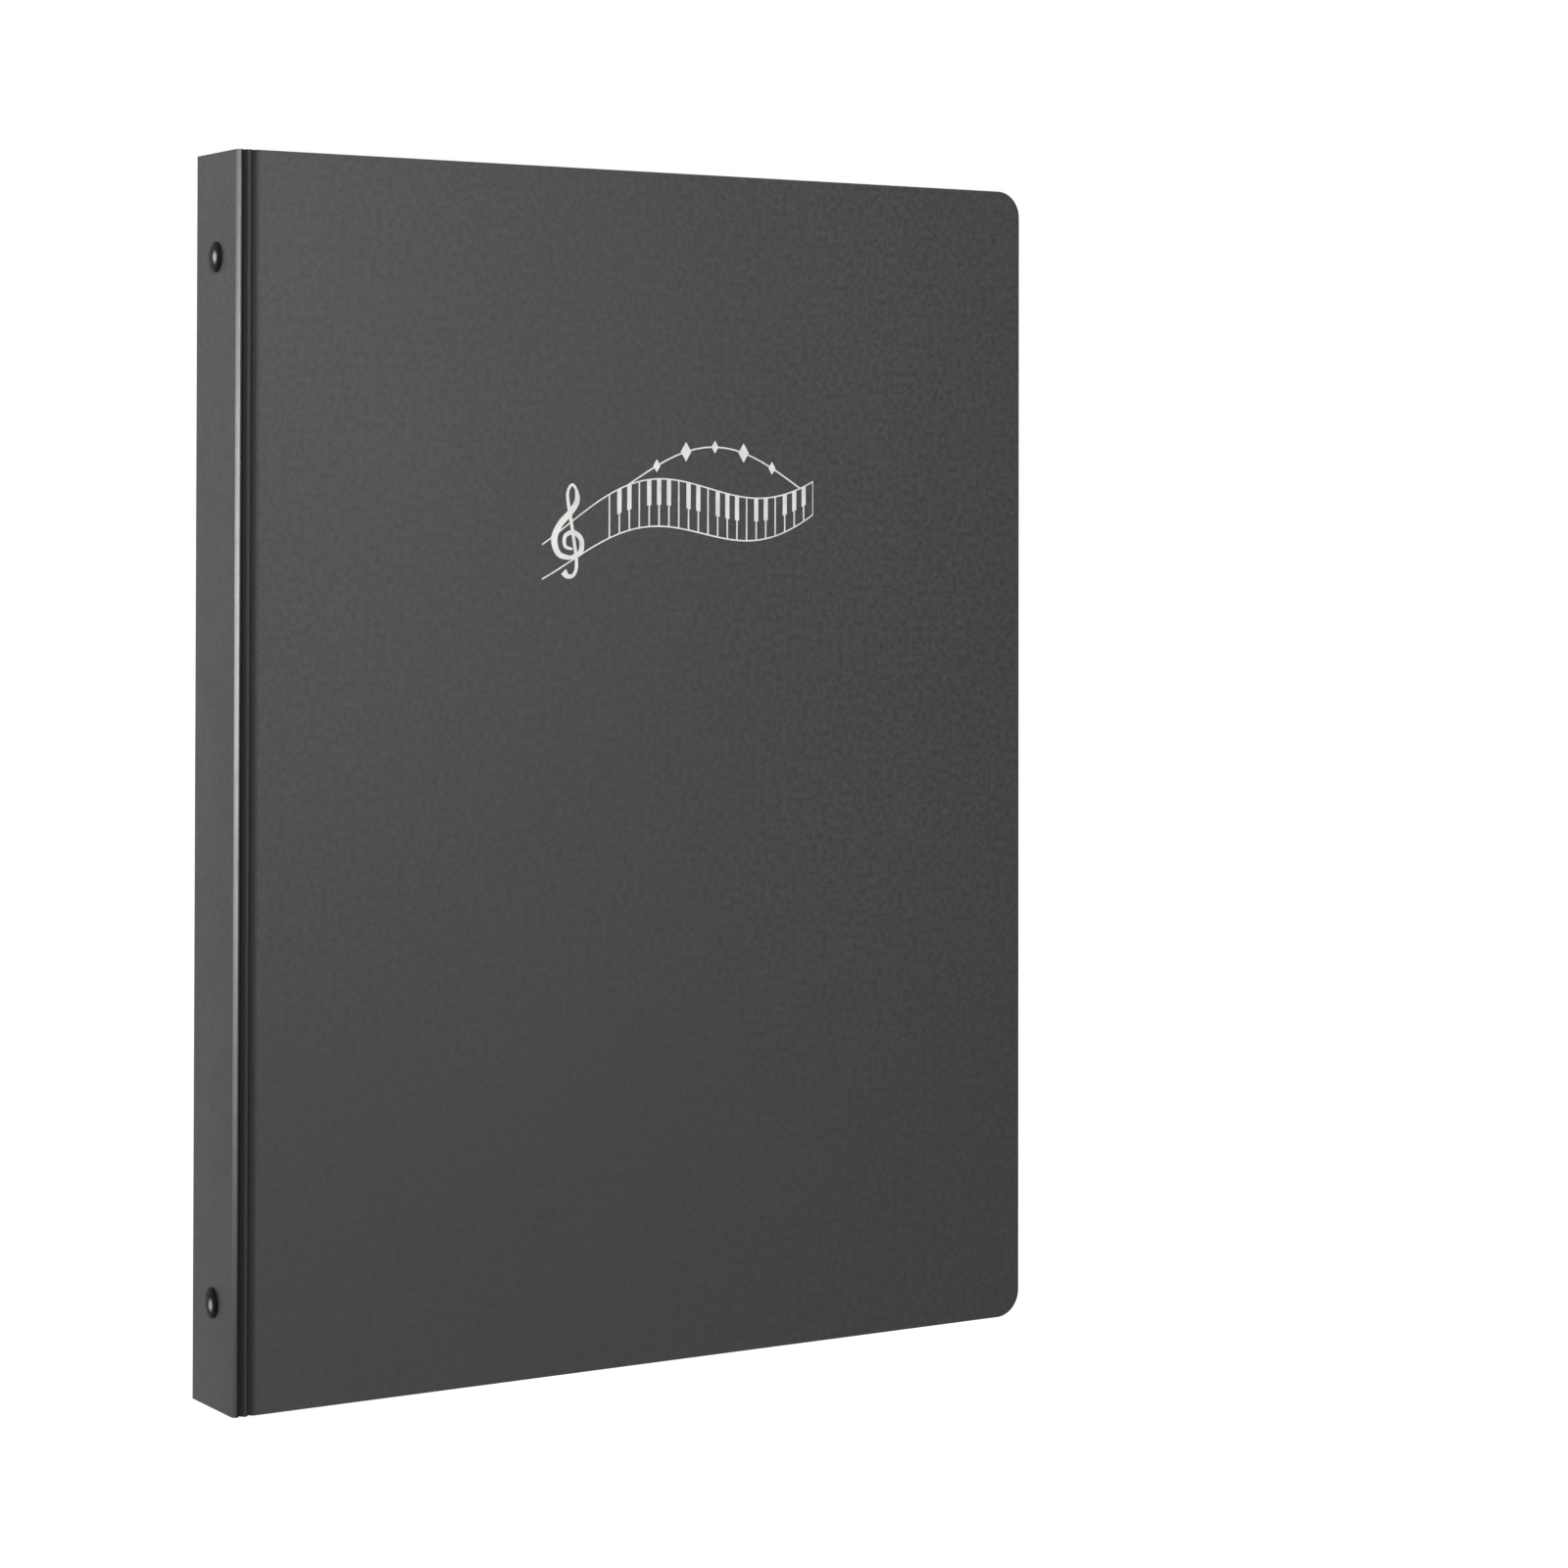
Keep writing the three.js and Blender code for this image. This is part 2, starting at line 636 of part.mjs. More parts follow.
for (const [name, end] of [['bottom', -1], ['top', 1]]) {
  const place = new THREE.Group();
  place.position.set(innerFace + leverPinHeight, 0, midHeight + end * leverPinOffset);
  const turned = named(`${name}_lever`, lever(), nickelSteel);
  turned.rotation.x = end < 0 ? Math.PI : 0;
  place.add(turned);
  place.add(named(`${name}_lever_pin`, leverPin(), nickelSteel));
  folder.add(place);
}

// The origin is the middle of the bottom of the whole, rivet heads and print included
folder.position.set(-(coverWidth - rivetHeadHeight) / 2, printThickness / 2, 0);

export default folder;
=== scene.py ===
import json
import math

import bmesh
import bpy
from mathutils import Matrix, Vector


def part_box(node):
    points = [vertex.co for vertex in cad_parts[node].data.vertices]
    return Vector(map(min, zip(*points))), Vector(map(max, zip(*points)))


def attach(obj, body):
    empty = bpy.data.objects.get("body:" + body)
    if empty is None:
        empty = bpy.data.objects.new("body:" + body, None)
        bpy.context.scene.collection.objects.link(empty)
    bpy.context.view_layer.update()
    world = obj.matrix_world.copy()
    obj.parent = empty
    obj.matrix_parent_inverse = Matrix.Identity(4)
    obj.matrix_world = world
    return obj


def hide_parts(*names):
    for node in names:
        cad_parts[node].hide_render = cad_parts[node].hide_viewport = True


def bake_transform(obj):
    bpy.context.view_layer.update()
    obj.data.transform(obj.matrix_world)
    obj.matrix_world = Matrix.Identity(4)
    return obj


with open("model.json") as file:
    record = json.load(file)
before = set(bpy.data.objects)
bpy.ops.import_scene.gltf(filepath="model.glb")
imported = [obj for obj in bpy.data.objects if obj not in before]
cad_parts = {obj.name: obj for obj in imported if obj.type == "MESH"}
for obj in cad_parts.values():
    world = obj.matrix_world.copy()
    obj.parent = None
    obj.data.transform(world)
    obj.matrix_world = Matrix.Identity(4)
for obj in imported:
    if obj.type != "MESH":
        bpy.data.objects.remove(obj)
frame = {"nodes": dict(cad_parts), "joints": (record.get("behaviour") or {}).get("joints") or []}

scene = bpy.context.scene
nodes = frame["nodes"]
hinges = {joint["name"]: joint for joint in frame["joints"]}
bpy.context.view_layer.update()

# places that the frame gives
spineLow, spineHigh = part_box("spine_panel")
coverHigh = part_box("front_cover")[1]
middleY = (spineLow.y + spineHigh.y) / 2
halfDepth = (spineHigh.y - spineLow.y) / 2
bottom, top = spineLow.z, spineHigh.z
creaseOneX = hinges["front_spine_crease"]["pos_m"][0]
creaseTwoX = hinges["front_cover_crease"]["pos_m"][0]
floorDepth = abs(hinges["front_spine_crease"]["pos_m"][1] - middleY)     # floor of a crease
tiny = 0.000001
print("folder: frame loaded,", len(nodes), "nodes")


shot = {
    "place": (-0.49645, -0.88134, 0.2195),
    "turn": 31.95,          # degrees from +Y towards +X
    "tilt": 0.92,           # degrees above level
    "roll": 0.09,
    "focal": 88.0,          # millimetres, as the sensor is
    "sensor": 36,
    "shift": (-0.0083, -0.2084),
    "nearest": 0.01,
}


def placeCamera():
    turn, tilt, roll = (math.radians(shot[key]) for key in ("turn", "tilt", "roll"))
    ahead = Vector((math.sin(turn) * math.cos(tilt),
                    math.cos(turn) * math.cos(tilt),
                    math.sin(tilt)))
    right = Vector((math.cos(turn), -math.sin(turn), 0))
    up = right.cross(ahead)
    rolledRight = right * math.cos(roll) + up * math.sin(roll)
    rolledUp = up * math.cos(roll) - right * math.sin(roll)
    data = bpy.data.cameras.new("shotCamera")
    data.sensor_width = shot["sensor"]
    data.lens = shot["focal"]
    data.shift_x, data.shift_y = shot["shift"]
    data.clip_start = shot["nearest"]
    camera = bpy.data.objects.new("shotCamera", data)
    axes = Matrix((rolledRight, rolledUp, -ahead)).transposed()
    camera.matrix_world = Matrix.Translation(shot["place"]) @ axes.to_4x4()
    scene.collection.objects.link(camera)
    scene.camera = camera


placeCamera()
print("folder: camera placed")


def newMaterial(name):
    material = bpy.data.materials.new(name)
    material.use_nodes = True
    tree = material.node_tree
    shader = tree.nodes["Principled BSDF"]
    return material, tree, shader


def addNoise(tree, vector, scale, detail=3.0, roughness=0.55):
    noise = tree.nodes.new("ShaderNodeTexNoise")
    noise.inputs["Scale"].default_value = scale
    noise.inputs["Detail"].default_value = detail
    noise.inputs["Roughness"].default_value = roughness
    tree.links.new(vector, noise.inputs["Vector"])
    return noise.outputs["Fac"]


def addRange(tree, value, fromLow, fromHigh, toLow, toHigh, smooth=False):
    node = tree.nodes.new("ShaderNodeMapRange")
    node.interpolation_type = "SMOOTHSTEP" if smooth else "LINEAR"
    numbers = {"From Min": fromLow, "From Max": fromHigh, "To Min": toLow, "To Max": toHigh}
    for key, number in numbers.items():
        node.inputs[key].default_value = number
    tree.links.new(value, node.inputs["Value"])
    return node.outputs["Result"]


def addMath(tree, operation, first, second):
    node = tree.nodes.new("ShaderNodeMath")
    node.operation = operation
    for socket, value in zip(node.inputs, (first, second)):
        if isinstance(value, (int, float)):
            socket.default_value = value
        else:
            tree.links.new(value, socket)
    return node.outputs["Value"]


def mixColours(tree, factor, first, second):
    node = tree.nodes.new("ShaderNodeMix")
    node.data_type = "RGBA"
    tree.links.new(factor, node.inputs["Factor"])
    for socket, colour in ((node.inputs["A"], first), (node.inputs["B"], second)):
        if isinstance(colour, tuple):
            socket.default_value = (*colour, 1)
        else:
            tree.links.new(colour, socket)
    return node.outputs["Result"]


def addBump(tree, height, distance, normal=None):
    node = tree.nodes.new("ShaderNodeBump")
    node.inputs["Distance"].default_value = distance
    node.inputs["Strength"].default_value = 1
    tree.links.new(height, node.inputs["Height"])
    if normal is not None:
        tree.links.new(normal, node.inputs["Normal"])
    return node.outputs["Normal"]


sheetLook = {
    "dark": (0.038, 0.0400, 0.0394),
    "light": (0.070, 0.0737, 0.0726),
    "specular": 0.2,
    "roughness": (0.5, 0.57),
    "hazeScale": 60,
    "cloud": (9, 0.2),                          # scale and share
    "speck": (620, 0.8),
    "toneSwing": 0.24,
    "grainSize": 0.0009,
    "grainDepth": 0.00009,
    "grainReach": 0.75,
    "grainSoft": 0.6,
    "grainDeeper": (-0.02, 0.085, 1.0, 2.0),    # the grain is pressed deeper towards the fore-edge
    "grainShallow": (0.05, 0.14, 0.6, 1.0),     # and shallower near the foot
    "wander": (420, 0.0009),                    # scale and reach of the cells' uneven places
    "cells": 0.8,                               # shares of the relief
    "dust": (3800, 0.35),
    "wave": (14, 0.00012),                      # scale and depth
    "outside": (0.0116, 0.0119),                # depth at which the outer face begins
    "creaseShadeColour": (0.005, 0.0052, 0.0052),      # painted shade in the pressed creases
    "creaseReach": (0.0006, 0.0018),
    "creaseShade": (1.0, 0.8),
    "paintedRidgeHighlight": (0.41, 0.41, 0.404),              # painted highlight along the spine's turned corners
    "ridgeRoughness": 0.3,
    "ridgeHighlightDepth": (0.01172, 0.01212),          # away from the middle plane
    "ridgeHighlightReach": (0.00062, 0.00098),          # in from the spine's face
    "ridgeHighlightRise": (0.003, 0.197, 0.04, 1.0),    # heights, and the share at each
    "ridgeHighlightFall": (0.175, 0.312, 1.0, 0.26),
    "ridgeHighlightPatches": (130, 0.86, 1.08),
}


def makeSheetMaterial():
    material, tree, shader = newMaterial("coverSheet")
    place = tree.nodes.new("ShaderNodeTexCoord").outputs["Object"]
    split = tree.nodes.new("ShaderNodeSeparateXYZ")
    tree.links.new(place, split.inputs["Vector"])
    across, depth, height = (split.outputs[axis] for axis in "XYZ")
    depth = addMath(tree, "ABSOLUTE", addMath(tree, "SUBTRACT", depth, middleY), 0.0)
    outside = addRange(tree, depth, *sheetLook["outside"], 0.0, 1.0)

    # creases: pressed smooth, and darkened with painted shade
    near = [addMath(tree, "ABSOLUTE", addMath(tree, "SUBTRACT", across, x), 0.0)
            for x in (creaseOneX, creaseTwoX)]
    shades = [addRange(tree, distance, *sheetLook["creaseReach"], shade, 0.0, smooth=True)
              for distance, shade in zip(near, sheetLook["creaseShade"])]
    crease = addMath(tree, "MULTIPLY", addMath(tree, "MAXIMUM", *shades), outside)

    # turned corners: a painted highlight, palest at the middle of the spine's height
    inward = addMath(tree, "SUBTRACT", across, spineLow.x)
    corner = addMath(tree, "MULTIPLY",
                     addRange(tree, inward, *sheetLook["ridgeHighlightReach"], 1.0, 0.0, smooth=True),
                     addRange(tree, depth, *sheetLook["ridgeHighlightDepth"], 0.0, 1.0, smooth=True))
    highlightByHeight = addMath(tree, "MULTIPLY",
                   addRange(tree, height, *sheetLook["ridgeHighlightRise"], smooth=True),
                   addRange(tree, height, *sheetLook["ridgeHighlightFall"], smooth=True))
    patchScale, patchLow, patchHigh = sheetLook["ridgeHighlightPatches"]
    ridgeHighlightPatchiness = addRange(tree, addNoise(tree, place, patchScale, 4.0), 0.3, 0.7, patchLow, patchHigh)
    paintedRidgeHighlight = addMath(tree, "MULTIPLY", addMath(tree, "MULTIPLY", corner, highlightByHeight), ridgeHighlightPatchiness)

    cloudScale, cloudShare = sheetLook["cloud"]
    speckScale, speckShare = sheetLook["speck"]
    cloud = addNoise(tree, place, cloudScale, 4.0)
    speck = addNoise(tree, place, speckScale, 2.0)
    tone = addMath(tree, "ADD", addMath(tree, "MULTIPLY", cloud, cloudShare),
                   addMath(tree, "MULTIPLY", speck, speckShare))
    deeper = addMath(tree, "MULTIPLY", addRange(tree, across, *sheetLook["grainDeeper"], smooth=True),
                     addRange(tree, height, *sheetLook["grainShallow"], smooth=True))
    swing = sheetLook["toneSwing"]
    tone = addMath(tree, "MULTIPLY", addRange(tree, tone, 0.35, 0.65, -swing, swing), deeper)
    tone = addMath(tree, "ADD", tone, 0.5)
    colour = mixColours(tree, tone, sheetLook["dark"], sheetLook["light"])
    # painted shade darkening the creases
    colour = mixColours(tree, crease, colour, sheetLook["creaseShadeColour"])
    # the painted highlight on the spine's turned corners
    colour = mixColours(tree, paintedRidgeHighlight, colour, sheetLook["paintedRidgeHighlight"])
    tree.links.new(colour, shader.inputs["Base Color"])

    haze = addNoise(tree, place, sheetLook["hazeScale"], 5.0)
    flat = addRange(tree, haze, 0.3, 0.7, *sheetLook["roughness"])
    rough = tree.nodes.new("ShaderNodeMix")
    rough.data_type = "FLOAT"
    tree.links.new(corner, rough.inputs["Factor"])
    tree.links.new(flat, rough.inputs["A"])
    rough.inputs["B"].default_value = sheetLook["ridgeRoughness"]
    tree.links.new(rough.outputs["Result"], shader.inputs["Roughness"])

    # leather grain: small soft cells with fine dust between
    cells = tree.nodes.new("ShaderNodeTexVoronoi")
    cells.feature = "SMOOTH_F1"
    cells.inputs["Scale"].default_value = 1 / sheetLook["grainSize"]
    cells.inputs["Smoothness"].default_value = sheetLook["grainSoft"]
    wanderScale, wanderReach = sheetLook["wander"]
    wander = tree.nodes.new("ShaderNodeTexNoise")
    wander.inputs["Scale"].default_value = wanderScale
    tree.links.new(place, wander.inputs["Vector"])
    warp = tree.nodes.new("ShaderNodeVectorMath")
    warp.operation = "MULTIPLY_ADD"
    warp.inputs[1].default_value = (wanderReach, wanderReach, wanderReach)
    tree.links.new(wander.outputs["Color"], warp.inputs[0])
    tree.links.new(place, warp.inputs[2])
    tree.links.new(warp.outputs["Vector"], cells.inputs["Vector"])
    grain = addRange(tree, cells.outputs["Distance"], 0.0, sheetLook["grainReach"], 1.0, 0.0)
    dustScale, dustShare = sheetLook["dust"]
    dust = addNoise(tree, place, dustScale, 2.0)
    relief = addMath(tree, "ADD", addMath(tree, "MULTIPLY", grain, sheetLook["cells"]),
                     addMath(tree, "MULTIPLY", dust, dustShare))
    pressed = addMath(tree, "SUBTRACT", 1.0, addMath(tree, "MAXIMUM", crease, corner))
    relief = addMath(tree, "MULTIPLY", addMath(tree, "MULTIPLY", relief, pressed), deeper)
    waveScale, waveDepth = sheetLook["wave"]
    wave = addBump(tree, addNoise(tree, place, waveScale, 1.0), waveDepth)
    tree.links.new(addBump(tree, relief, sheetLook["grainDepth"], normal=wave), shader.inputs["Normal"])
    shader.inputs["Specular IOR Level"].default_value = sheetLook["specular"]
    return material


printLook = {
    "bright": (0.80, 0.80, 0.77),
    "dull": (0.62, 0.62, 0.60),
    "roughness": (0.28, 0.5),
    "metallic": 0.35,
    "speckScale": 2200,
    "speckDepth": 0.00001,
    "fadeScale": 160,
}


def makePrintMaterial():
    material, tree, shader = newMaterial("silverPrint")
    place = tree.nodes.new("ShaderNodeTexCoord").outputs["Object"]
    speck = addNoise(tree, place, printLook["speckScale"], 3.0)
    fade = addRange(tree, addNoise(tree, place, printLook["fadeScale"], 4.0), 0.35, 0.7, 0.0, 1.0)
    colour = mixColours(tree, fade, printLook["bright"], printLook["dull"])
    tree.links.new(colour, shader.inputs["Base Color"])
    tree.links.new(addRange(tree, speck, 0.3, 0.7, *printLook["roughness"]), shader.inputs["Roughness"])
    tree.links.new(addBump(tree, speck, printLook["speckDepth"]), shader.inputs["Normal"])
    shader.inputs["Metallic"].default_value = printLook["metallic"]
    return material


rivetLook = {
    "lacquer": (0.006, 0.006, 0.0065),
    "bare": (0.30, 0.30, 0.30),     # painted highlight: a patch of bare metal on the crown where the highlight falls
    "barePlace": (0.0, -0.0013, -0.0002),
    "bareRadius": 0.0016,
    "bareStretch": (0, 1.4, 1),
    "bareFade": (0.55, 1.45),       # shares of the radius
    "ragged": (1500, 0.0006),       # scale and reach
    "roughness": (0.2, 0.38),
    "blurScale": 700,
    "dents": (1100, 0.00002),
    "specular": 0.03,
}


def makeRivetMaterial(name, middle):
    material, tree, shader = newMaterial(name)
    place = tree.nodes.new("ShaderNodeTexCoord").outputs["Object"]
    offset = tree.nodes.new("ShaderNodeVectorMath")
    offset.operation = "SUBTRACT"
    offset.inputs[1].default_value = middle + Vector(rivetLook["barePlace"])
    tree.links.new(place, offset.inputs[0])
    flat = tree.nodes.new("ShaderNodeVectorMath")
    flat.operation = "MULTIPLY"
    flat.inputs[1].default_value = rivetLook["bareStretch"]
    tree.links.new(offset.outputs["Vector"], flat.inputs[0])
    length = tree.nodes.new("ShaderNodeVectorMath")
    length.operation = "LENGTH"
    tree.links.new(flat.outputs["Vector"], length.inputs[0])
    raggedScale, raggedReach = rivetLook["ragged"]
    ragged = addMath(tree, "MULTIPLY", addNoise(tree, place, raggedScale, 3.0), raggedReach)
    distance = addMath(tree, "ADD", length.outputs["Value"], ragged)
    inner, outer = (share * rivetLook["bareRadius"] for share in rivetLook["bareFade"])
    # painted highlight: the share of the bare metal patch on the crown
    bare = addRange(tree, distance, inner, outer, 1.0, 0.0, smooth=True)
    colour = mixColours(tree, bare, rivetLook["lacquer"], rivetLook["bare"])
    tree.links.new(colour, shader.inputs["Base Color"])
    tree.links.new(bare, shader.inputs["Metallic"])
    blur = addNoise(tree, place, rivetLook["blurScale"], 3.0)
    tree.links.new(addRange(tree, blur, 0.3, 0.7, *rivetLook["roughness"]), shader.inputs["Roughness"])
    dentScale, dentDepth = rivetLook["dents"]
    tree.links.new(addBump(tree, addNoise(tree, place, dentScale, 3.0), dentDepth), shader.inputs["Normal"])
    shader.inputs["Specular IOR Level"].default_value = rivetLook["specular"]
    return material


nickelLook = {
    "bright": (0.58, 0.57, 0.55),
    "dull": (0.45, 0.445, 0.435),
    "roughness": (0.16, 0.34),
    "rollStretch": (1, 1, 0.03),    # rolled along the strip
    "rolled": (5200, 0.000006),     # scale and depth
    "hazeScale": 90,
}


def makeNickelMaterial():
    material, tree, shader = newMaterial("nickelSteel")
    place = tree.nodes.new("ShaderNodeTexCoord").outputs["Object"]
    stretch = tree.nodes.new("ShaderNodeMapping")
    stretch.inputs["Scale"].default_value = nickelLook["rollStretch"]
    tree.links.new(place, stretch.inputs["Vector"])
    rollScale, rollDepth = nickelLook["rolled"]
    rolled = addNoise(tree, stretch.outputs["Vector"], rollScale, 2.0)
    haze = addNoise(tree, place, nickelLook["hazeScale"], 4.0)
    fade = addRange(tree, haze, 0.35, 0.7, 0.0, 1.0)
    colour = mixColours(tree, fade, nickelLook["bright"], nickelLook["dull"])
    tree.links.new(colour, shader.inputs["Base Color"])
    blur = addMath(tree, "ADD", addMath(tree, "MULTIPLY", rolled, 0.5),
                   addMath(tree, "MULTIPLY", haze, 0.5))
    tree.links.new(addRange(tree, blur, 0.35, 0.65, *nickelLook["roughness"]), shader.inputs["Roughness"])
    tree.links.new(addBump(tree, rolled, rollDepth), shader.inputs["Normal"])
    shader.inputs["Metallic"].default_value = 1
    return material


sheetMaterial = makeSheetMaterial()
printMaterial = makePrintMaterial()
nickelMaterial = makeNickelMaterial()
print("folder: materials made")


def placeMesh(bm, name, material, smoothAngle=40):
    bmesh.ops.recalc_face_normals(bm, faces=bm.faces)
    mesh = bpy.data.meshes.new(name)
    bm.to_mesh(mesh)
    bm.free()
    mesh.materials.append(material)
    mesh.shade_smooth()
    mesh.set_sharp_from_angle(angle=math.radians(smoothAngle))
    piece = bpy.data.objects.new(name, mesh)
    scene.collection.objects.link(piece)
    return piece


def prism(section, bottom, top):
    bm = bmesh.new()
    base = bm.faces.new([bm.verts.new((x, y, bottom)) for x, y in section])
    grown = bmesh.ops.extrude_face_region(bm, geom=[base])
    moved = [item for item in grown["geom"] if isinstance(item, bmesh.types.BMVert)]
    bmesh.ops.translate(bm, verts=moved, vec=(0, 0, top - bottom))
    bmesh.ops.recalc_face_normals(bm, faces=bm.faces)
    return bm


def bevelEdges(bm, edges, width, segments):
    bmesh.ops.bevel(bm, geom=edges, offset=width, offset_type="OFFSET", affect="EDGES",
                    segments=segments, profile=0.5, material=-1, clamp_overlap=True)


def sharpEdges(bm, degrees):
    limit = math.radians(degrees)
    return [edge for edge in bm.edges if len(edge.link_faces) == 2 and edge.calc_face_angle() > limit]


def uprightEdges(bm, x, y):
    return [edge for edge in bm.edges
            if all(abs(vert.co.x - x) < tiny and abs(vert.co.y - y) < tiny for vert in edge.verts)]


def endEdges(bm, z):
    return [edge for edge in sharpEdges(bm, 60) if all(abs(vert.co.z - z) < tiny for vert in edge.verts)]


sheet = {
    "thickness": 0.0014,
    "creaseHalfWidth": 0.00084,
    "creaseHalfGap": 0.00015,
    "webReach": 0.0005,         # how far a web runs onto the sheet on both sides
    "webColumns": 16,
    "webProud": 0.00002,
    "webInset": 0.00005,        # at both ends
    "spineCorner": 0.0012,
    "innerCorner": 0.0005,
    "spineShoulder": 0.00012,
    "spineRim": 0.00015,
    "ribShoulder": 0.0002,
    "foreCorner": 0.007,
    "shoulder": 0.0003,
    "rim": 0.00022,
    "rimClear": 0.0001,         # from the shoulder to the first rounded edge
    "rimRun": 0.01,             # an edge longer than this across the cover is rounded too
}


def makeSpine():
    outer, inner = halfDepth, halfDepth - sheet["thickness"]
    spineX, innerX = spineLow.x, spineLow.x + sheet["thickness"]
    lip, slope = creaseOneX - sheet["creaseHalfGap"], creaseOneX - sheet["creaseHalfWidth"]
    half = [(spineX, outer), (slope, outer), (lip, floorDepth), (lip, inner), (innerX, inner)]
    section = [(x, middleY + y) for x, y in half] + [(x, middleY - y) for x, y in reversed(half)]
    bm = prism(section, bottom, top)
    for side in (-1, 1):
        bevelEdges(bm, uprightEdges(bm, spineX, middleY + side * outer), sheet["spineCorner"], 10)
        bevelEdges(bm, uprightEdges(bm, innerX, middleY + side * inner), sheet["innerCorner"], 5)
        bevelEdges(bm, uprightEdges(bm, slope, middleY + side * outer), sheet["spineShoulder"], 3)
    bevelEdges(bm, endEdges(bm, bottom) + endEdges(bm, top), sheet["spineRim"], 2)
    piece = placeMesh(bm, "spineSheet", sheetMaterial)
    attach(piece, "spine")
    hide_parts("spine_panel")


def makeRib(side, name, body, node):
    outer, floor, inner = (middleY + side * depth for depth in
                           (halfDepth, floorDepth, halfDepth - sheet["thickness"]))
    gap, width = sheet["creaseHalfGap"], sheet["creaseHalfWidth"]
    bm = prism([(creaseOneX + gap, inner), (creaseOneX + gap, floor), (creaseOneX + width, outer),
                (creaseTwoX - width, outer), (creaseTwoX - gap, floor), (creaseTwoX - gap, inner)],
               bottom, top)
    for x in (creaseOneX + width, creaseTwoX - width):
        bevelEdges(bm, uprightEdges(bm, x, outer), sheet["ribShoulder"], 4)
    piece = placeMesh(bm, name, sheetMaterial)
    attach(piece, body)
    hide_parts(node)


def makeCover(side, name, body, node):
    outer, floor, inner = (middleY + side * depth for depth in
                           (halfDepth, floorDepth, halfDepth - sheet["thickness"]))
    foreX = coverHigh.x
    slope = creaseTwoX + sheet["creaseHalfWidth"]
    bm = prism([(creaseTwoX + sheet["creaseHalfGap"], inner), (creaseTwoX + sheet["creaseHalfGap"], floor),
                (slope, outer), (foreX, outer), (foreX, inner)], bottom, top)
    corners = [edge for edge in bm.edges
               if all(abs(vert.co.x - foreX) < tiny for vert in edge.verts)
               and abs(edge.verts[0].co.z - edge.verts[1].co.z) < tiny]
    bevelEdges(bm, corners, sheet["foreCorner"], 14)
    bevelEdges(bm, uprightEdges(bm, slope, outer), sheet["shoulder"], 5)
    bevelEdges(bm, [edge for edge in sharpEdges(bm, 60)
                    if min(vert.co.x for vert in edge.verts) > slope + sheet["rimClear"]
                    or abs(edge.verts[0].co.x - edge.verts[1].co.x) > sheet["rimRun"]], sheet["rim"], 3)
    piece = placeMesh(bm, name, sheetMaterial)
    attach(piece, body)
    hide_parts(node)


def makeWeb(side, name, creaseX):
    proud, inset = sheet["webProud"], sheet["webInset"]
    floor = middleY + side * (floorDepth + proud)
    inner = middleY + side * (halfDepth - sheet["thickness"] - proud)
    reach, columns = sheet["webReach"], sheet["webColumns"]
    across = [creaseX + reach * (2 * column / columns - 1) for column in range(columns + 1)]
    bm = prism([(x, floor) for x in across] + [(x, inner) for x in reversed(across)],
               bottom + inset, top - inset)
    piece = placeMesh(bm, name, sheetMaterial)
    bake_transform(piece)


makeSpine()
makeRib(-1, "frontRib", "front_rib", "front_crease_rib")
makeRib(1, "backRib", "back_rib", "back_crease_rib")
makeCover(-1, "frontCoverSheet", "front_board", "front_cover")
makeCover(1, "backCoverSheet", "back_board", "back_cover")
makeWeb(-1, "frontSpineWeb", creaseOneX)
makeWeb(-1, "frontCoverWeb", creaseTwoX)
makeWeb(1, "backSpineWeb", creaseOneX)
makeWeb(1, "backCoverWeb", creaseTwoX)
print("folder: sheet folded")


rivet = {
    "headRadius": 0.0038,
    "headHeight": 0.0011,
    "rim": 0.00035,
    "undercut": 0.00008,
    "gap": 0.00003,             # between a shoulder and the sheet or plate it presses on
    "shankRadius": 0.0022,
    "neckRadius": 0.0015,
    "neckLength": 0.00086,
    "clinch": ((0.00003, 0.0025), (0.0003, 0.0024), (0.0006, 0.0018)),     # past the housing, radius
    "domeSteps": 10,
    "segments": 48,
}


def makeRivet(node, name):
    low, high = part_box(node)
    middle = Vector((low.x, (low.y + high.y) / 2, (low.z + high.z) / 2))
    faceX = spineLow.x
    dome = [(faceX - rivet["headHeight"], 0.0)]
    steps = rivet["domeSteps"]
    for step in range(1, steps + 1):
        turn = step / steps * math.pi / 2
        drop = (rivet["headHeight"] - rivet["rim"]) * math.cos(turn)
        dome.append((faceX - rivet["rim"] - drop, rivet["headRadius"] * math.sin(turn)))
    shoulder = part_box("ring_housing")[1].x
    gap, neckX = rivet["gap"], shoulder - rivet["neckLength"]
    shank = [(faceX - gap, rivet["headRadius"] - rivet["undercut"]),
             (faceX - gap, rivet["shankRadius"]), (neckX, rivet["shankRadius"]),
             (neckX, rivet["neckRadius"]), (shoulder + gap, rivet["neckRadius"])]
    clinch = [(shoulder + past, radius) for past, radius in rivet["clinch"]]
    profile = dome + shank + clinch + [(high.x, 0.0)]
    bm = bmesh.new()
    points = [bm.verts.new((x, middle.y, middle.z + radius)) for x, radius in profile]
    line = [bm.edges.new(pair) for pair in zip(points, points[1:])]
    bmesh.ops.spin(bm, geom=points + line, cent=middle, axis=(1, 0, 0), dvec=(0, 0, 0),
                   angle=2 * math.pi, steps=rivet["segments"], use_merge=True)
    bmesh.ops.remove_doubles(bm, verts=bm.verts, dist=tiny)
    piece = placeMesh(bm, name, makeRivetMaterial(name + "Finish", middle), 45)
    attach(piece, "spine")
    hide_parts(node)


makeRivet("bottom_rivet", "bottomRivetTurned")
makeRivet("top_rivet", "topRivetTurned")
print("folder: rivets turned")


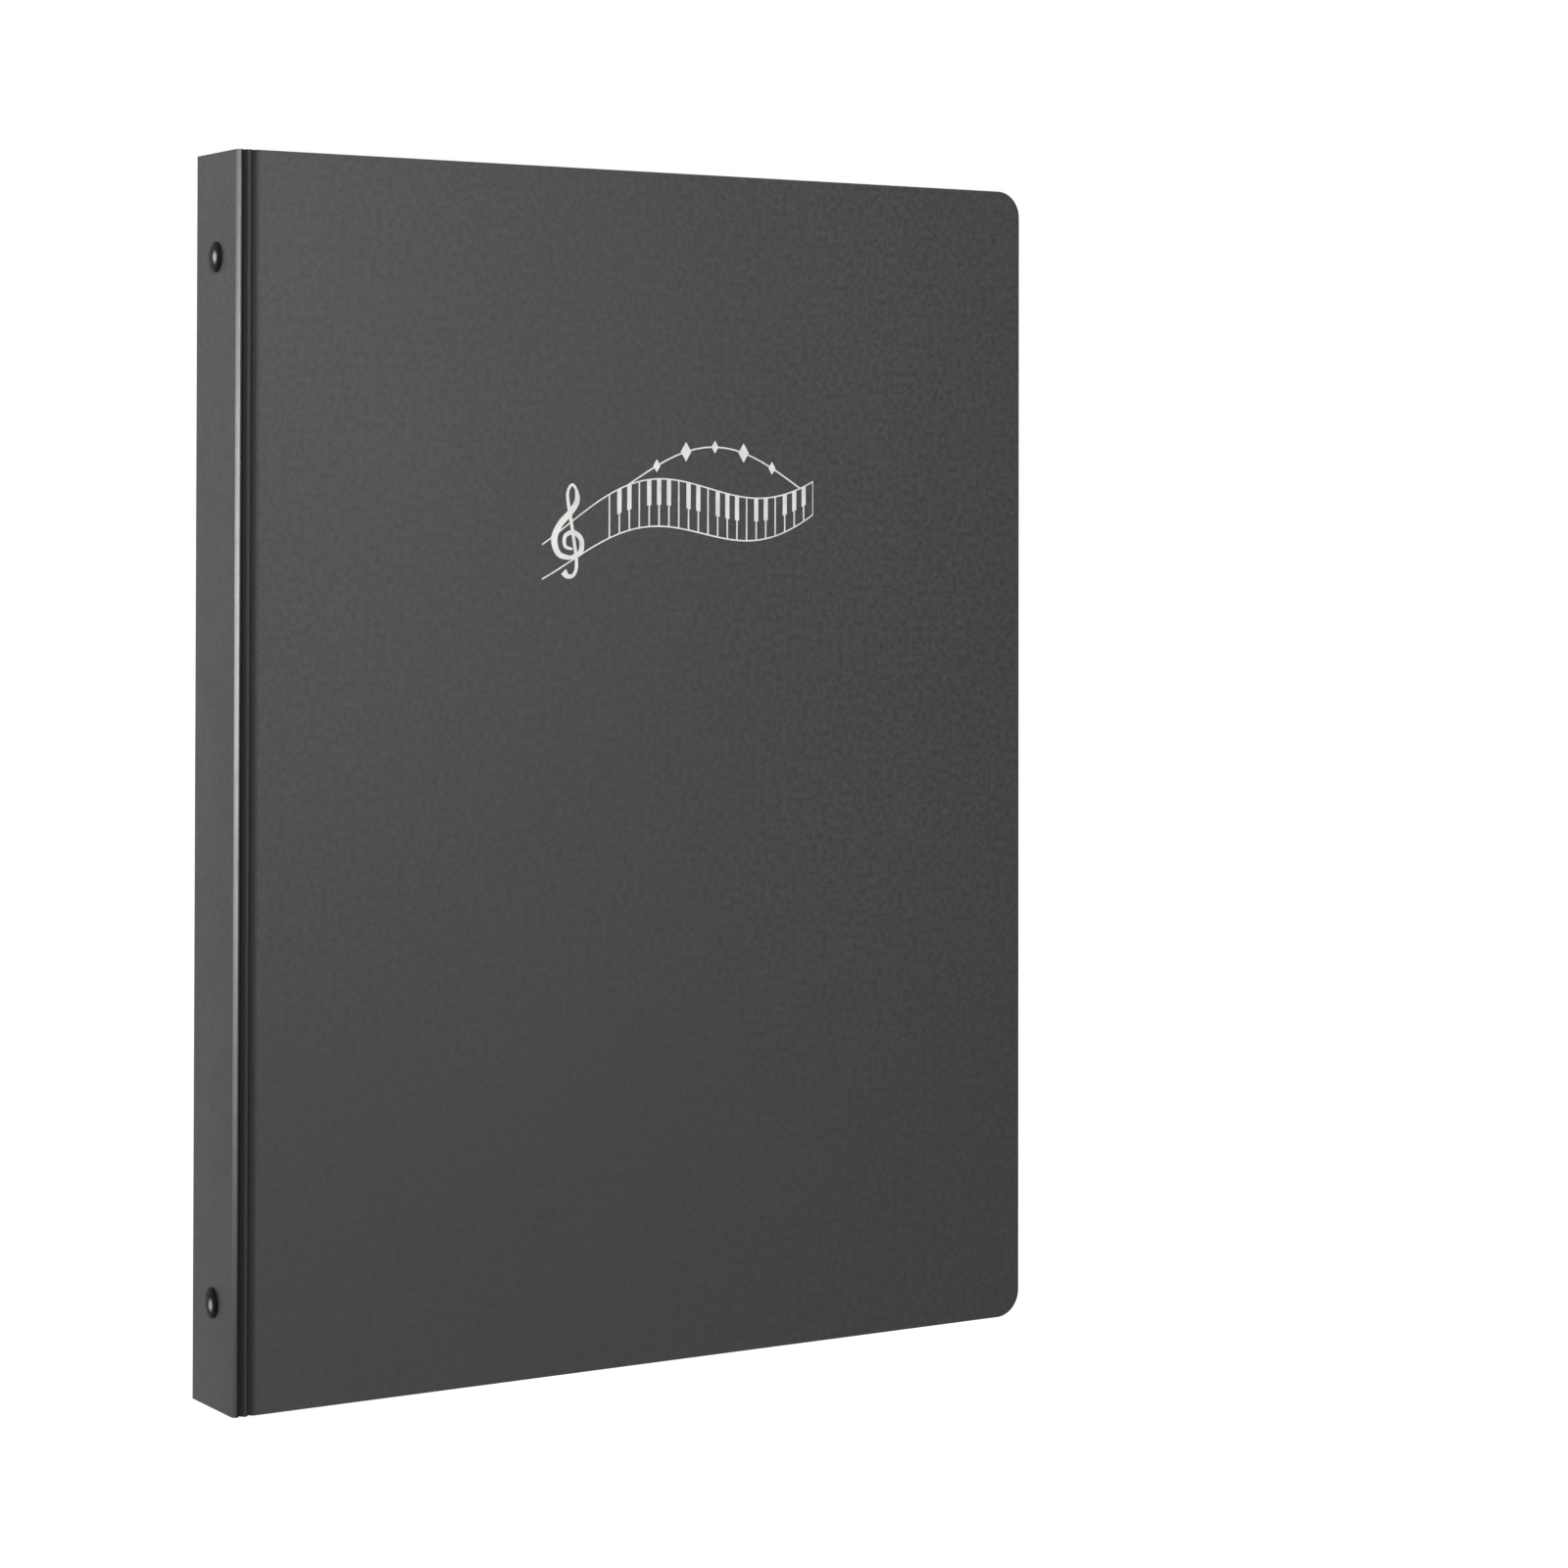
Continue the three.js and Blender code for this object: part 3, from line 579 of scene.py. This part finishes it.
def inkPrint():
    for materialSlot in nodes["cover_print"].material_slots:
        materialSlot.material = printMaterial


inkPrint()
print("folder: print inked")


ring = {
    "wire": 0.00115,
    "radius": 0.0082,
    "tipGap": 0.00015,
    "tipEdge": 0.00018,
    "sides": 20,
    "steps": 40,
}
plate = {"edge": 0.00012, "segments": 2}


def softenedCopy(node, name, body):
    bm = bmesh.new()
    bm.from_mesh(nodes[node].data)
    bmesh.ops.remove_doubles(bm, verts=bm.verts, dist=tiny)
    bmesh.ops.dissolve_limit(bm, angle_limit=math.radians(1), verts=bm.verts, edges=bm.edges)
    bevelEdges(bm, sharpEdges(bm, 35), plate["edge"], plate["segments"])
    piece = placeMesh(bm, name, nickelMaterial, 30)
    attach(piece, body)
    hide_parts(node)


def makeRingHalf(side, node, name, body):
    low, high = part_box(node)
    centreX = high.x - ring["wire"] - ring["radius"]
    centre = Vector((centreX, middleY, (low.z + high.z) / 2))
    bm = bmesh.new()
    wire = bmesh.ops.create_circle(bm, cap_ends=False, radius=ring["wire"],
                                   segments=ring["sides"])["verts"]
    startTurn = math.asin(ring["tipGap"] / ring["radius"])
    endTurn = math.acos((low.x - centreX) / ring["radius"])
    bmesh.ops.rotate(bm, verts=wire, cent=(0, 0, 0), matrix=Matrix.Rotation(math.pi / 2, 3, "X"))
    bmesh.ops.translate(bm, verts=wire, vec=(centreX + ring["radius"], middleY, centre.z))
    bmesh.ops.rotate(bm, verts=wire, cent=centre, matrix=Matrix.Rotation(side * startTurn, 3, "Z"))
    bmesh.ops.spin(bm, geom=wire + bm.edges[:], cent=centre, axis=(0, 0, 1), dvec=(0, 0, 0),
                   angle=side * (endTurn - startTurn), steps=ring["steps"], use_merge=False)
    bmesh.ops.holes_fill(bm, edges=[edge for edge in bm.edges if edge.is_boundary], sides=0)
    bmesh.ops.recalc_face_normals(bm, faces=bm.faces)
    bevelEdges(bm, sharpEdges(bm, 60), ring["tipEdge"], 3)
    piece = placeMesh(bm, name, nickelMaterial, 45)
    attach(piece, body)
    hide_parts(node)


softenedCopy("ring_housing", "housingPlate", "spine")
softenedCopy("front_blade", "frontBladePlate", "front_jaw")
softenedCopy("back_blade", "backBladePlate", "back_jaw")
softenedCopy("top_lever", "topLeverPlate", "top_lever")
softenedCopy("bottom_lever", "bottomLeverPlate", "bottom_lever")
softenedCopy("top_lever_pin", "topPinTurned", "spine")
softenedCopy("bottom_lever_pin", "bottomPinTurned", "spine")
for number in range(1, 5):
    makeRingHalf(-1, f"front_ring_{number}", f"frontRingWire{number}", "front_jaw")
    makeRingHalf(1, f"back_ring_{number}", f"backRingWire{number}", "back_jaw")
print("folder: ring mechanism fitted")


studio = {
    "worldFill": 0.18,          # strength of the world on the object
    "floorSize": 60.0,
    "floorColour": (0.6, 0.6, 0.6),
    "floorRoughness": 0.9,
    "floorSpecular": 0.1,
    "paper": (30, 0.985),       # scale, and tone of its darker parts
    "floorShow": (0.7, 1.42),   # share and strength of the plain white seen in the floor
    # place, point it faces, size, watts, spread in degrees
    "lamps": {
        "leftPanel": ((-1.1, -0.95, 0.55), (-0.12, 0.0, 0.2), (0.8, 1.0), 8.6, 180),
        "keyPanel": ((-0.62, -1.25, 0.85), (-0.16, 0.0, 0.3), (0.3, 0.3), 0.85, 34),
        "backPanel": ((-0.75, 0.95, 0.35), (-0.1, 0.0, 0.17), (0.5, 0.9), 0.8, 180),
    },
}


def makeFloor():
    bm = bmesh.new()
    bmesh.ops.create_grid(bm, x_segments=2, y_segments=2, size=studio["floorSize"] / 2)
    material, tree, shader = newMaterial("paleFloor")
    shader.inputs["Roughness"].default_value = studio["floorRoughness"]
    shader.inputs["Specular IOR Level"].default_value = studio["floorSpecular"]
    place = tree.nodes.new("ShaderNodeTexCoord").outputs["Object"]
    paperScale, paperTone = studio["paper"]
    paper = addNoise(tree, place, paperScale, 3.0)
    low = tuple(paperTone * channel for channel in studio["floorColour"])
    tree.links.new(mixColours(tree, paper, low, studio["floorColour"]), shader.inputs["Base Color"])
    show, strength = studio["floorShow"]
    plain = tree.nodes.new("ShaderNodeEmission")
    plain.inputs["Strength"].default_value = strength
    path = tree.nodes.new("ShaderNodeLightPath")
    seen = addMath(tree, "MAXIMUM", path.outputs["Is Camera Ray"], path.outputs["Is Glossy Ray"])
    seen = addMath(tree, "MAXIMUM", seen, path.outputs["Is Transmission Ray"])
    share = addMath(tree, "MULTIPLY", seen, show)
    mixed = tree.nodes.new("ShaderNodeMixShader")
    tree.links.new(share, mixed.inputs["Fac"])
    tree.links.new(shader.outputs["BSDF"], mixed.inputs[1])
    tree.links.new(plain.outputs["Emission"], mixed.inputs[2])
    tree.links.new(mixed.outputs["Shader"], tree.nodes["Material Output"].inputs["Surface"])
    floor = placeMesh(bm, "studioFloor", material)
    for polygon in floor.data.polygons:
        if polygon.normal.z < 0:
            polygon.flip()


def lightWorld():
    world = bpy.data.worlds.new("studioWorld")
    scene.world = world
    world.use_nodes = True
    tree = world.node_tree
    fill = tree.nodes["Background"]
    fill.inputs["Color"].default_value = (1, 1, 1, 1)
    fill.inputs["Strength"].default_value = studio["worldFill"]
    seenWhite = tree.nodes.new("ShaderNodeBackground")
    seenWhite.inputs["Color"].default_value = (1, 1, 1, 1)
    path = tree.nodes.new("ShaderNodeLightPath")
    seen = addMath(tree, "MAXIMUM", path.outputs["Is Camera Ray"], path.outputs["Is Glossy Ray"])
    seen = addMath(tree, "MAXIMUM", seen, path.outputs["Is Transmission Ray"])
    mixed = tree.nodes.new("ShaderNodeMixShader")
    tree.links.new(seen, mixed.inputs["Fac"])
    tree.links.new(fill.outputs["Background"], mixed.inputs[1])
    tree.links.new(seenWhite.outputs["Background"], mixed.inputs[2])
    tree.links.new(mixed.outputs["Shader"], tree.nodes["World Output"].inputs["Surface"])


def hangLamps():
    for name, (place, target, size, watts, spread) in studio["lamps"].items():
        data = bpy.data.lights.new(name, "AREA")
        data.shape = "RECTANGLE"
        data.size, data.size_y = size
        data.energy = watts
        data.spread = math.radians(spread)
        lamp = bpy.data.objects.new(name, data)
        lamp.location = place
        lamp.rotation_euler = (Vector(target) - Vector(place)).to_track_quat("-Z", "Y").to_euler()
        scene.collection.objects.link(lamp)


makeFloor()
lightWorld()
hangLamps()
scene.view_settings.view_transform = "Standard"
print("folder: studio lit")
